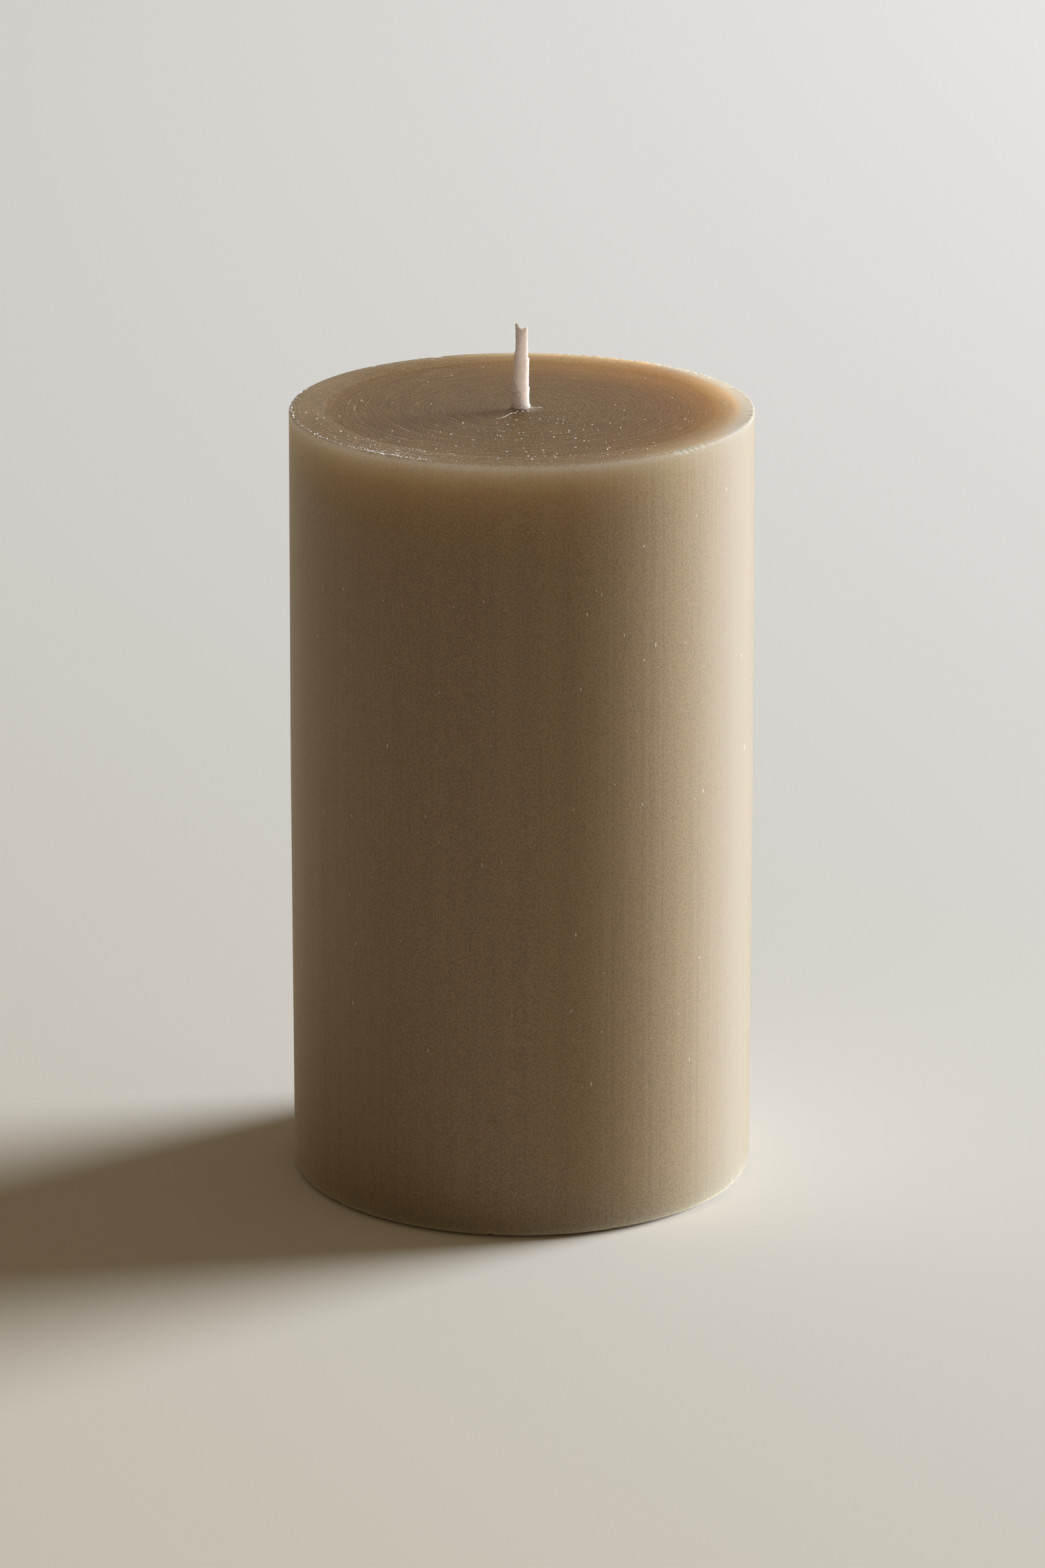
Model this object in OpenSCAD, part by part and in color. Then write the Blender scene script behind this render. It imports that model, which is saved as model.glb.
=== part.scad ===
// Pillar candle: a drawn wax body with a turned top, a braided wick and the metal sustainer in its foot.
// Millimetres, +Z up, origin at the middle of the foot, where the candle stands.
// The front of the candle faces -Y.

/* [Wax body] */
// Diameter of the wax
pillar_d = 70; // [40:1:110]
// Height of the wax, from foot to rim
pillar_h = 120; // [60:1:240]
// Radius of the rounded edge at the foot
foot_round = 1.2; // [0.4:0.1:3]
// Width and drop of the worn edge round the rim
rim_wear = 0.4; // [0.1:0.05:1]

/* [Draw lines] */
// Number of narrow flats that make up the drawn side
side_flats = 240; // [120:24:360]
// Depth of the deepest line that the die drew along the side
draw_depth = 0.14; // [0.02:0.02:0.4]

/* [Turned top] */
// Width of the sloping band inside the rim
band_w = 5.8; // [3:0.1:9]
// Fall of the band towards the wick
band_fall = 0.15; // [0.1:0.05:1]
// Step from the band down to the turned floor
floor_step = 0.15; // [0.05:0.05:0.4]
// Spacing of the rings that the cutter left on the floor
ring_pitch = 3.1; // [2:0.1:5]
// Width of one ring
ring_w = 0.5; // [0.2:0.1:1]
// Depth of the deepest ring
ring_depth = 0.08; // [0.04:0.02:0.3]

/* [Chips] */
// Length of a full-size chip along the edge of the rim or the foot
chip_w = 1.3; // [0.6:0.1:2]
// Depth of a full-size chip below the edge
chip_depth = 0.3; // [0.1:0.05:0.5]

/* [Wick] */
// Width of the braid
wick_w = 2.3; // [1.6:0.1:4]
// Thickness of the braid
wick_t = 1.7; // [1:0.1:3]
// Length of wick that stands above the floor of the top
wick_stand = 13; // [8:0.5:20]
// Turn of the flat braid about its own length, in degrees
wick_turn = -28; // [-90:1:90]
// Length of one stitch of the braid
stitch = 2.9; // [1.6:0.1:5]
// Height of the stitches under their coat of wax
stitch_relief = 0.1; // [0.02:0.01:0.2]
// Share of its section that the wick keeps at the snipped tip
tip_share = 0.76; // [0.5:0.02:1]
// Height of the tip's corners above its middle, where the scissors nipped it
tip_horn = 0.6; // [0:0.1:0.9]
// Fall of the snipped tip from its back corner to its front one
tip_slope = 0.3; // [0:0.1:1]
// How far the tip leans to the right
wick_lean = 0.25; // [0:0.05:2]

/* [Wick sustainer] */
// Diameter of the sheet disc
disc_d = 20; // [14:0.5:28]
// Thickness of the sheet
sheet_t = 0.3; // [0.2:0.05:0.5]
// Depth of the disc above the foot plane
disc_inset = 0.4; // [0.2:0.1:1.5]
// Height of the neck above the disc
neck_h = 6.5; // [5:0.5:12]
// Length of the neck that is crimped flat on the wick
crimp_h = 2.8; // [1.5:0.1:4]
// Diameter of the stiffening bead, at its middle
bead_d = 12.5; // [9:0.5:16]
// Width of the stiffening bead
bead_w = 2.2; // [1.6:0.1:3]
// Height of the stiffening bead
bead_h = 0.45; // [0.2:0.05:0.8]
// Clearance between the metal and the wick
neck_clear = 0.08; // [0.02:0.02:0.2]
// Clearance between the metal and the wax
seat_clear = 0.1; // [0.02:0.02:0.3]

/* [Hidden] */

$fn = 96;
HULL_FN = 32;
OVER = 1;            // how far a cutter runs past what it cuts
THIN = 0.02;         // thickness of the slices that a hull joins
ARC_STEPS = 7;       // straight steps in a rounded edge
LINE_SEED = 41;      // picks the pattern of the draw lines
LINE_SHARPNESS = 2;  // a higher number makes deep lines rarer

body_r = pillar_d / 2;
band_z = pillar_h - band_fall;
floor_z = band_z - floor_step;
floor_r = body_r - band_w;
ring_count = floor((floor_r - 2 * wick_w) / ring_pitch);

// Each chip as [angle from +X, share of full size]. The cutter chattered on the rim at the front
// right, and the rim's left side and the foot were knocked.
RIM_CHIPS = [[-52, 0.6], [-49, 0.8], [-46, 1], [-43, 1], [-40, 0.8], [-37, 0.6],
             [168, 0.9], [176, 1.4], [184, 1.2], [192, 0.7], [18, 0.9], [9, 0.7]];
FOOT_CHIPS = [[-98, 0.9], [-143, 1], [-23, 1.4], [-16, 1.1]];

WICK_SIDES = 16;     // corners of the wick's section
WICK_ROWS = 44;      // rows of facets along the standing wick
SECTION_POWER = 0.7; // 1 gives an ellipse and less gives a squarer section
NIP = 0.25;          // share of the standing length over which the tip flares
FLARE = 0.1;         // how much wider the nipped tip is, as a share of the width

disc_r = disc_d / 2;
disc_z = disc_inset;
neck_ir = wick_w / 2 + neck_clear;
neck_or = neck_ir + sheet_t;
neck_top = disc_z + sheet_t + neck_h;
neck_fillet = 2 * sheet_t;
crimp_gap = wick_t + 2 * neck_clear;
crimp_z = neck_top - crimp_h;
round_top = crimp_z - crimp_h / 2;
lap = sheet_t / 2;                 // how far the crimped part reaches down into the round part's wall
bead_out = bead_d / 2 + bead_w / 2;
bead_in = bead_d / 2 - bead_w / 2;
sheet_lean = sheet_t * tan(22.5);  // sideways shift between the knees of the sheet's two faces

rim_gap = rim_wear / sqrt(2);            // from the square corner to the worn rim
foot_gap = foot_round * (sqrt(2) - 1);   // from the square corner to the rounded foot

// Points of an arc of radius r about (x, y), from angle a to angle b.
function arc(x, y, r, a, b) =
    [for (i = [0 : ARC_STEPS]) let (t = a + (b - a) * i / ARC_STEPS) [x + r * cos(t), y + r * sin(t)]];

// A number's size raised to a power, with the number's sign.
function signed_pow(v, p) = sign(v) * pow(abs(v), p);

// The wick's section: a rounded rectangle of width w and thickness t.
function wick_section(w, t) =
    [for (i = [0 : WICK_SIDES - 1]) let (a = 360 * i / WICK_SIDES)
        [w / 2 * signed_pow(cos(a), SECTION_POWER), t / 2 * signed_pow(sin(a), SECTION_POWER)]];

// The section of the side. The wax dragged on the die and kept lines of uneven depth, except on the
// four points that set the diameter.
line_noise = rands(0, 1, side_flats, LINE_SEED);
function on_axis(i) = i % (side_flats / 4) == 0;
function drawn_r(i) = body_r - (on_axis(i) ? 0 : draw_depth * pow(line_noise[i], LINE_SHARPNESS));
drawn_section =
    [for (i = [0 : side_flats - 1]) let (a = 360 * i / side_flats) drawn_r(i) * [cos(a), sin(a)]];

// One ring of the turned floor, counted inwards. The cutter was fed by hand, so spacing and depth vary.
function ring_r(k) = floor_r - ring_pitch * (k + 0.4 * sin(100 * k));
function ring_cut(k) = ring_depth * (0.55 + 0.45 * cos(110 * k));
function ring_points(k) =
    [[ring_r(k) + ring_w / 2, floor_z], [ring_r(k), floor_z - ring_cut(k)], [ring_r(k) - ring_w / 2, floor_z]];

// Half section of the cut candle: rounded foot, worn rim, sloping band and ringed floor.
function turned_profile() =
    concat([[0, 0]],
           arc(body_r - foot_round, foot_round, foot_round, -90, 0),
           [[body_r + OVER, foot_round], [body_r + OVER, pillar_h - rim_wear],
            [body_r, pillar_h - rim_wear], [body_r - rim_wear, pillar_h],
            [floor_r + floor_step, band_z], [floor_r, floor_z]],
           [for (k = [1 : ring_count]) each ring_points(k)],
           [[0, floor_z]]);

module wax_body() {
    color("tan")
    difference() {
        intersection() {
            linear_extrude(pillar_h) polygon(drawn_section);
            rotate_extrude() polygon(turned_profile());
        }
        for (chip = RIM_CHIPS) edge_chip(chip, pillar_h, rim_gap, 1);
        for (chip = FOOT_CHIPS) edge_chip(chip, 0, foot_gap, -1);
        wick_hole();
        sustainer_seat();
    }
}

// A round bite out of the edge at height z. The edge lies gap short of the square corner, and out is 1
// where the bite comes from above and -1 where it comes from below.
module edge_chip(chip, z, gap, out) {
    share = chip[1];
    bite = chip_depth * share;
    ball_r = (pow(chip_w * share / 2, 2) + pow(bite, 2)) / (2 * bite);
    away = (ball_r - bite - gap) / sqrt(2);
    rotate(chip[0])
        translate([body_r + away, 0, z + out * away])
            sphere(ball_r);
}

// The wax set round the wick, so the hole is the wick's own section.
module wick_hole() {
    rotate(wick_turn)
        translate([0, 0, neck_top - OVER])
            linear_extrude(pillar_h) polygon(wick_section(wick_w, wick_t));
}

// Room for the sustainer, open at the foot.
module sustainer_seat() {
    seat_r = disc_r + seat_clear;
    seat_z = disc_z + sheet_t;
    rotate_extrude()
        polygon(concat(
            [[0, -OVER], [seat_r, -OVER], [seat_r, seat_z]],
            bead_line(seat_z, seat_clear),
            [[neck_or + neck_fillet + seat_clear, seat_z], [neck_or + seat_clear, seat_z + neck_fillet],
             [neck_or + seat_clear, neck_top], [0, neck_top]]));
}

// The bead's outline on a face of the sheet at height z, g bigger all round.
function bead_line(z, g) =
    [[bead_out + g, z], [bead_out - bead_h, z + bead_h + g], [bead_in + bead_h, z + bead_h + g], [bead_in - g, z]];

module wick() {
    color("ivory")
    rotate(wick_turn)
        polyhedron(points = wick_points(), faces = wick_faces(), convexity = 4);
}

// How far into the nipped stretch a row lies, from 0 below it to 1 at the tip.
function nip(s) = max(0, (s - 1 + NIP) / NIP);

// Height of row s, from 0 at the floor to 1 at the tip, at a place u across the width, from -1 to 1.
// The nipped rows sink in the middle and slope to the front corner.
function row_z(s, u) =
    floor_z + wick_stand * s - pow(nip(s), 2) * (tip_horn * (1 - pow(abs(u), 3)) + tip_slope * (1 + u) / 2);

// The braid narrows towards the tip and flares again where it was nipped.
function row_width(s) = 1 - (1 - tip_share) * pow(s, 0.8) + FLARE * pow(nip(s), 2);
function row_thickness(s) = 1 - (1 - tip_share) * s;

// Height of the stitches, which run in two slanting columns that meet in the middle of each flat side.
function stitch_out(s, u) =
    let (turn = 180 * (s * wick_stand / stitch + (u > 0 ? 0.5 : 0) + 0.6 * abs(u)),
         fade = min(1, 6 * s))
    stitch_relief * fade * (2 * pow(abs(sin(turn)), 0.7) - 1) * min(1, 0.3 + abs(u));

// One row of the standing wick. The lean is to the right, whichever way the braid is turned.
function wick_row(s) =
    [for (p = wick_section(wick_w, wick_t))
        let (u = 2 * p[0] / wick_w,
             out = stitch_out(s, u) / norm(p),
             lean = wick_lean * pow(s, 2))
        [p[0] * (row_width(s) + out) + lean * cos(wick_turn),
         p[1] * (row_thickness(s) + out) - lean * sin(wick_turn),
         row_z(s, u)]];

function wick_points() =
    concat([for (p = wick_section(wick_w, wick_t)) [p[0], p[1], disc_z]],
           [for (k = [0 : WICK_ROWS]) each wick_row(k / WICK_ROWS)],
           [[wick_lean * cos(wick_turn), -wick_lean * sin(wick_turn), row_z(1, 0)]]);

function wick_faces() =
    let (rows = WICK_ROWS + 2, n = WICK_SIDES, last = rows * n)
    concat([[for (i = [0 : n - 1]) i]],
           [for (k = [0 : rows - 2]) for (i = [0 : n - 1])
               let (j = (i + 1) % n, a = k * n)
               each [[a + i, a + n + i, a + j], [a + j, a + n + i, a + n + j]]],
           [for (i = [0 : n - 1]) [last - n + i, last, last - n + (i + 1) % n]]);

module wick_sustainer() {
    color("silver")
    difference() {
        union() {
            sheet_disc();
            crimped_neck(neck_or - lap, sheet_t, round_top - lap, neck_top);
        }
        crimped_neck(neck_ir - neck_clear / 2, 0, round_top - 2 * lap, neck_top + OVER);
    }
}

// The pressed disc with its bead and the round part of its neck, all one sheet.
module sheet_disc() {
    top = disc_z + sheet_t;
    rotate_extrude()
        polygon(concat(
            [[disc_r, disc_z], [disc_r, top]],
            bead_line(top, 0),
            arc(neck_or + neck_fillet, top + neck_fillet, neck_fillet, 270, 180),
            [[neck_or, round_top], [neck_ir, round_top], [neck_ir, disc_z]],
            [[bead_in + sheet_lean, disc_z], [bead_in + bead_h + sheet_lean, disc_z + bead_h],
             [bead_out - bead_h - sheet_lean, disc_z + bead_h], [bead_out - sheet_lean, disc_z]]));
}

// The form of the neck's upper part: round with radius foot_r where it starts, at from_z, then squeezed
// flat on the wick, grown by g all round.
module crimped_neck(foot_r, g, from_z, to_z) {
    rotate(wick_turn) {
        hull() {
            translate([0, 0, from_z]) linear_extrude(THIN) circle(foot_r, $fn = HULL_FN);
            translate([0, 0, crimp_z]) linear_extrude(THIN) oblong(2 * (neck_ir + g), crimp_gap + 2 * g);
        }
        translate([0, 0, crimp_z]) linear_extrude(to_z - crimp_z) oblong(2 * (neck_ir + g), crimp_gap + 2 * g);
    }
}

// A slot shape with round ends, as one outline.
module oblong(w, t) {
    polygon([for (side = [1, -1]) for (i = [0 : HULL_FN / 2])
        let (a = 360 * i / HULL_FN - 90)
        side * [(w - t) / 2 + t / 2 * cos(a), t / 2 * sin(a)]]);
}

wax_body();
wick();
wick_sustainer();
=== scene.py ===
# %% [markdown]
# # A pillar candle
#
# The real object is a drawn pillar: taupe wax that was pushed through a round die, cut to length and
# faced on a lathe, with a braided cotton wick down its middle. It stands on a pale floor, and a large
# soft light comes low from the right and a little from behind.
#
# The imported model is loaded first. It is the fixed frame: real size, metres, +Z up, with the middle of
# the foot at the origin. Everything below is placed by it.

# %% Load the frame
import math

import bmesh
import bpy
import numpy as np
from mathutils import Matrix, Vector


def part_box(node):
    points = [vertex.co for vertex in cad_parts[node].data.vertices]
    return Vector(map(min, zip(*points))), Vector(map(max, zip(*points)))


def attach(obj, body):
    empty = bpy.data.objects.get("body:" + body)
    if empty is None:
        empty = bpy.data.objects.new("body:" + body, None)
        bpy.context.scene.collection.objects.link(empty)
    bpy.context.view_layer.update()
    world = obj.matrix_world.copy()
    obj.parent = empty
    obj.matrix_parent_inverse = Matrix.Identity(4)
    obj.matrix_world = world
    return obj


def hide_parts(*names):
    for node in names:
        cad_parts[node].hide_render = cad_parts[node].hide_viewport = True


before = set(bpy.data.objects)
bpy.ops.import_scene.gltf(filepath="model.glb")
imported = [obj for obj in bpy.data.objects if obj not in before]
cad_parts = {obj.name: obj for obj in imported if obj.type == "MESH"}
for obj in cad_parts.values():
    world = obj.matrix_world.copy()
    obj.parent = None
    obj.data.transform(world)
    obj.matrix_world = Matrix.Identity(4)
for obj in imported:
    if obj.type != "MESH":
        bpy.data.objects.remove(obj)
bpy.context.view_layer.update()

MM = 0.001

# %% [markdown]
# ## The camera
#
# A product shot like this one is taken with a short telephoto from a little above, so that the top shows
# as a flat oval and the sides run almost straight down. The pitch and the distance were worked out from
# the ovals of the rim and the foot.

# %% Make the camera
LENS_MM = 150
SENSOR_MM = 36
CAMERA_AT = (0.0001, -0.9525, 0.3585)
CAMERA_PITCH = math.radians(17.36)

camera_data = bpy.data.cameras.new("camera")
camera_data.lens = LENS_MM
camera_data.sensor_width = SENSOR_MM
camera = bpy.data.objects.new("camera", camera_data)
camera.location = CAMERA_AT
camera.rotation_euler = (math.pi / 2 - CAMERA_PITCH, 0, 0)
bpy.context.collection.objects.link(camera)
bpy.context.scene.camera = camera
print("camera", CAMERA_AT, "lens", LENS_MM)

# %% [markdown]
# ## The wax body: a grid of rings
#
# The wax is a body of revolution with damage on it. A Screw modifier would turn a profile exactly, but
# then every draw line, chip and ring would have to come later as bump. Instead the mesh is built as a
# grid: each ring is one row of points round the candle, and numpy moves the points of a row before they
# become a mesh. The rings run in one closed loop, from the wick's hole down under the foot, up the side,
# over the rim and back to the wick, so that the mesh is watertight.
#
# The sizes repeat those of the construction, in millimetres. Only the tuck of the foot is this scene's
# own: the foot curls further under, which makes the dark line where the candle meets the floor, together
# with painted shade on the foot.
#
# Angles are in degrees round the axis: 0 is the right, 90 the back, 180 the left and -90 the front.

# %% Sizes of the wax
body_low, body_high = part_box("wax_body")
BODY_R = (body_high.x - body_low.x) / 2 / MM
RIM_Z = body_high.z / MM
FOOT_ROUND = 1.2
FOOT_TUCK = 2.4
RIM_WEAR = 0.4
BAND_W = 5.8
BAND_FALL = 0.15
FLOOR_STEP = 0.15
FLOOR_R = BODY_R - BAND_W
BAND_Z = RIM_Z - BAND_FALL
FLOOR_Z = BAND_Z - FLOOR_STEP

COLUMNS = 1024
turn = np.linspace(0, 2 * np.pi, COLUMNS, endpoint=False)
print("wax radius", round(BODY_R, 2), "height", round(RIM_Z, 2), "columns", COLUMNS)

# %% [markdown]
# ## Random waves that close on themselves
#
# Draw lines, tool rings and worn edges all vary round the candle, and the last column has to meet the
# first one. A sum of whole waves does that by itself. Each one is seeded, so every run gives the same
# candle. Two more helpers pick out an arc of the candle and fade one thing into another.


# %% Wave helpers
def ripple(lowest, highest, seed):
    """A random wave round the candle, from -1 to 1, with lowest to highest waves in one turn."""
    rng = np.random.default_rng(seed)
    counts = np.arange(lowest, highest + 1)
    phases = rng.uniform(0, 2 * np.pi, counts.size)
    sizes = rng.uniform(0.5, 1.5, counts.size)
    wave = (sizes[:, None] * np.cos(counts[:, None] * turn + phases[:, None])).sum(axis=0)
    return wave / np.abs(wave).max()


def degrees_from(angle):
    """How far each column lies from an angle, in degrees, from -180 to 180."""
    return (np.degrees(turn) - angle + 180) % 360 - 180


def between(first, last, fade):
    """1 for columns between two angles in degrees, 0 outside, with a soft edge fade degrees wide."""
    middle, half = (first + last) / 2, (last - first) / 2
    return np.clip((half - np.abs(degrees_from(middle))) / fade + 0.5, 0, 1)


def ramp(value, start, length):
    """0 at start and 1 at start + length, clamped. A length below 0 makes a ramp downwards."""
    return np.clip((value - start) / length, 0, 1)


print("the right quarter of the candle has", int(between(-45, 45, 1).sum()), "columns")

# %% [markdown]
# ## Draw lines on the side
#
# The die scratched the wax all the way down, so most lines run the whole height. Some fade in and out
# where the wax stuck for a moment. One wave is shared by all rings, and five others are blended along
# the height. What lies below zero is deepened and what lies above is flattened, because a scratch is
# deeper than the ridges beside it are high. The side also stands out by 0.3 mm, except near the rim.

# %% Draw lines
LINE_DEPTH = 0.021
WAVE_DEPTH = 0.03
SHARED = 0.65
GROOVE, RIDGE = 1.6, 0.5
SIDE_SWELL = 0.3
SWELL_OVER = 55
shared_lines = ripple(70, 420, 11)
changing_lines = np.array([ripple(90, 460, seed) for seed in (12, 13, 14, 15, 16)])
broad_waves = ripple(3, 24, 17)


def draw_lines(z):
    """How far the side lies inside the full radius at height z, in mm, for each column."""
    place = z / RIM_Z * (len(changing_lines) - 1)
    low = min(int(place), len(changing_lines) - 2)
    share = place - low
    changing = (1 - share) * changing_lines[low] + share * changing_lines[low + 1]
    lines = SHARED * shared_lines + (1 - SHARED) * changing
    scratches = np.where(lines < 0, -GROOVE * lines, -RIDGE * lines)
    swell = SIDE_SWELL * ramp(RIM_Z - z, 0, SWELL_OVER)
    return LINE_DEPTH * (0.5 + scratches) + WAVE_DEPTH * (1 + broad_waves) - swell


print("draw lines at mid height, mm:", draw_lines(60).min().round(3), "to", draw_lines(60).max().round(3))

# %% [markdown]
# ## Chips, and the map of wear and painted light
#
# Where wax breaks it turns pale, because the break scatters light. So each chip does two things: it moves
# points inwards, and it is written to a map, one number a point, that the material reads later as
# "worn". 1 is broken and pale, 0 is plain wax, and -1 shortens the glow, so that light
# goes less deep into the wax: painted shade. The same map carries painted highlights too, on ring lips,
# on the band's right arc and round the wick's foot.
#
# The cutter chattered on the rim at the front right and left a row of slanting nicks. The left of the
# rim was chipped, and the foot has a few chips. Knocks dent the rim all round without breaking the wax,
# so they only nibble its outline.

# %% Chips on the edges
# Each is (angle, width, length down the side, depth, slant), the angle in degrees and the rest in mm.
RIM_CHIPS = [
    (-49.6, 0.20, 0.55, 0.14, 0.5), (-48.3, 0.26, 0.75, 0.20, 0.6), (-46.2, 0.28, 0.80, 0.22, 0.6),
    (-44.4, 0.24, 0.75, 0.20, 0.7), (-42.6, 0.26, 0.60, 0.16, 0.6), (-40.0, 0.34, 0.50, 0.14, 0.6),
    (-36.2, 0.24, 0.35, 0.08, 0.5), (-52.4, 0.16, 0.30, 0.07, 0.4), (-57.0, 0.14, 0.25, 0.06, 0.3),
    (172.5, 0.22, 0.30, 0.14, 0.2), (176.0, 0.26, 0.35, 0.18, 0.1), (181.0, 0.20, 0.45, 0.16, -0.2),
    (184.5, 0.30, 0.40, 0.20, 0.1), (188.5, 0.18, 0.30, 0.12, 0.0), (196.0, 0.16, 0.25, 0.08, 0.2),
]
RIM_KNOCKS = [
    (22.0, 0.6, 0.6, 0.14, 0.0), (17.0, 0.4, 0.5, 0.10, 0.2), (11.0, 0.5, 0.6, 0.16, -0.1),
    (5.5, 0.3, 0.5, 0.12, 0.0), (0.5, 0.5, 0.7, 0.16, 0.1), (-5.0, 0.3, 0.4, 0.10, 0.0),
    (-11.0, 0.6, 0.5, 0.12, 0.0), (33.0, 0.7, 0.5, 0.10, 0.0), (47.0, 0.5, 0.4, 0.08, 0.0),
    (62.0, 0.7, 0.5, 0.12, 0.0), (112.0, 0.9, 0.6, 0.14, 0.0), (131.0, 0.5, 0.5, 0.10, 0.0),
    (164.0, 0.5, 0.5, 0.12, 0.0),
]
FOOT_CHIPS = [
    (-98.0, 0.5, 0.7, 0.22, 0.0), (-143.0, 0.6, 0.8, 0.26, 0.2), (-24.0, 0.6, 1.0, 0.17, 0.5),
    (-18.0, 0.5, 1.1, 0.15, 0.5), (-66.0, 0.4, 0.6, 0.14, 0.0), (40.0, 0.8, 0.8, 0.22, 0.0),
    (120.0, 0.6, 0.7, 0.2, 0.0),
]
# A chip as deep as this is fully pale.
PALE_DEPTH = 0.12
# Chips cut at 45 degrees, so they move a point by this share of their depth both inwards and up or down.
CHIP_SHARE = 0.7


def chipped(chips, along):
    """Depth of the chips at a distance along mm from the edge, and how pale the break leaves the wax."""
    depth = np.zeros(COLUMNS)
    for angle, width, length, deepest, slant in chips:
        across = np.radians(degrees_from(angle)) * BODY_R - slant * along
        near = np.clip(1 - (across / width) ** 2 - (along / length) ** 2, 0, 1)
        depth = np.maximum(depth, deepest * np.sqrt(near))
    return depth, np.clip(depth / PALE_DEPTH, 0, 1)


print("chips:", len(RIM_CHIPS), "on the rim and", len(FOOT_CHIPS), "at the foot")

# %% [markdown]
# ## The rings, one after the other
#
# Each ring gets its radius, its height, its value on the map of wear and painted light, and whether it
# belongs to the turned top. The first one is the mouth of the wick's hole, which has the wick's own
# section: a rounded rectangle that is turned a little. The underside follows the sustainer's seat with its
# bead, because the seat shows when the candle is lifted.

# %% Collect the rings
rings = []


def ring(radius, height, worn=0.0, top=0.0):
    """Adds one row of points. Each value is a number or one number a column."""
    rings.append([np.broadcast_to(value, COLUMNS).astype(float) for value in (radius, height, worn, top)])


print("rings so far:", len(rings))

# %% The wick's hole
WICK_W = 2.3
WICK_T = 1.7
WICK_TURN = math.radians(-28)
SECTION_POWER = 0.7
OUTLINE_STEPS = 2880


def signed_power(values, power):
    """The values' sizes raised to a power, with their signs kept."""
    return np.sign(values) * np.abs(values) ** power


def wick_section(angles, width, thickness, power):
    """Points x and y of a rounded rectangle. The lower the power, the squarer it is."""
    return (width / 2 * signed_power(np.cos(angles), power),
            thickness / 2 * signed_power(np.sin(angles), power))


def wick_outline():
    """Radius of the wick's hole for each column: the section's own outline, seen from the axis."""
    x, y = wick_section(
        np.linspace(0, 2 * np.pi, OUTLINE_STEPS, endpoint=False), WICK_W, WICK_T, SECTION_POWER)
    angle = np.arctan2(y, x) + WICK_TURN
    return np.interp(turn, angle % (2 * np.pi), np.hypot(x, y), period=2 * np.pi)


hole_r = wick_outline()
print("wick hole radius from", hole_r.min().round(2), "to", hole_r.max().round(2), "mm")

# %% The seat under the foot
NECK_R, NECK_TOP = 1.63, 7.2
FILLET_R, FILLET_TOP = 2.23, 1.3
SEAT_R, SEAT_Z = 10.1, 0.7
BEAD_Z = 1.25

ring(hole_r, NECK_TOP)
for radius, height in ((NECK_R, NECK_TOP), (NECK_R, FILLET_TOP), (FILLET_R, SEAT_Z),
                       (5.05, SEAT_Z), (5.6, BEAD_Z), (6.9, BEAD_Z), (7.45, SEAT_Z),
                       (SEAT_R, SEAT_Z), (SEAT_R, 0)):
    ring(radius, height)
print("rings so far:", len(rings))

# %% The foot and the side
# The foot's glow is shortened under it and up its round, which is painted shade, so it stays dark where it
# meets the floor.
FOOT_PAINTED_SHADE = 0.95
ARC_STEPS = 7
SIDE_HEIGHTS = [3, 6, 10, 15, 22, 30, 38, 46, 54, 62, 70, 78, 86, 94, 101, 107, 112, 115, 117, 118.2]

foot_lines = draw_lines(0)
for radius in (16, 25, BODY_R - FOOT_TUCK):
    ring(radius, 0, -FOOT_PAINTED_SHADE)
for step in range(1, ARC_STEPS + 1):
    angle = math.pi / 2 * step / ARC_STEPS
    depth, worn = chipped(FOOT_CHIPS, FOOT_ROUND * (angle - math.pi / 4))
    radius = BODY_R - FOOT_TUCK * (1 - math.sin(angle)) - foot_lines * math.sin(angle)
    height = FOOT_ROUND * (1 - math.cos(angle))
    foot_shade = FOOT_PAINTED_SHADE * (1 - step / (ARC_STEPS + 1))
    ring(radius - depth * CHIP_SHARE, height + depth * CHIP_SHARE, worn - foot_shade)
for height in SIDE_HEIGHTS:
    ring(BODY_R - draw_lines(height), height)
print("rings so far:", len(rings))

# %% [markdown]
# ## The rim
#
# The rim is worn round. Its crest is pale where burr is left on it, most of all at the left, and along a
# line at the front left. At the back right it is nibbled by bites half a millimetre wide. At the right and
# the back of the rim the glow is shortened, so light goes less deep there: this is painted shade.

# %% The state of the rim
# Only the peaks of a wave leave burr, and away from the left only a tenth of it is left.
BURR_ELSEWHERE = 0.1
LINE_PALE = 0.6
burr_arc = BURR_ELSEWHERE + (1 - BURR_ELSEWHERE) * between(-195, -120, 20)
crest_burr = np.clip(ripple(40, 380, 23) * 2.4 - 0.3, 0, 1) * burr_arc
crest_line = LINE_PALE * np.clip(0.5 + ripple(6, 60, 24), 0, 1) * between(-153, -117, 12)
crest_worn = np.clip(crest_burr + crest_line, 0, 1)

BITE_DEPTH = 0.42
BITE_REACH = 0.7
rim_bites = BITE_DEPTH * np.clip(ripple(90, 300, 25) * 1.6, 0, 1) * between(-22, 78, 16)

# The painted shade reaches this far in from the rim, in mm. At the back a little of it reaches much further
# in.
RIM_SHADE_REACH = 2.2
BACK_SHADE_REACH = 10
BACK_SHADE = 0.75
rim_painted_shade = between(-35, 130, 40)
back_painted_shade = BACK_SHADE * between(26, 130, 40)


def painted_shade(inwards):
    """How much painted shade shortens the glow at a distance inside the rim, 0 to 1, for each column."""
    return np.maximum(rim_painted_shade * ramp(inwards, RIM_SHADE_REACH, -RIM_SHADE_REACH),
                      back_painted_shade * ramp(inwards, BACK_SHADE_REACH, -BACK_SHADE_REACH))


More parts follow.
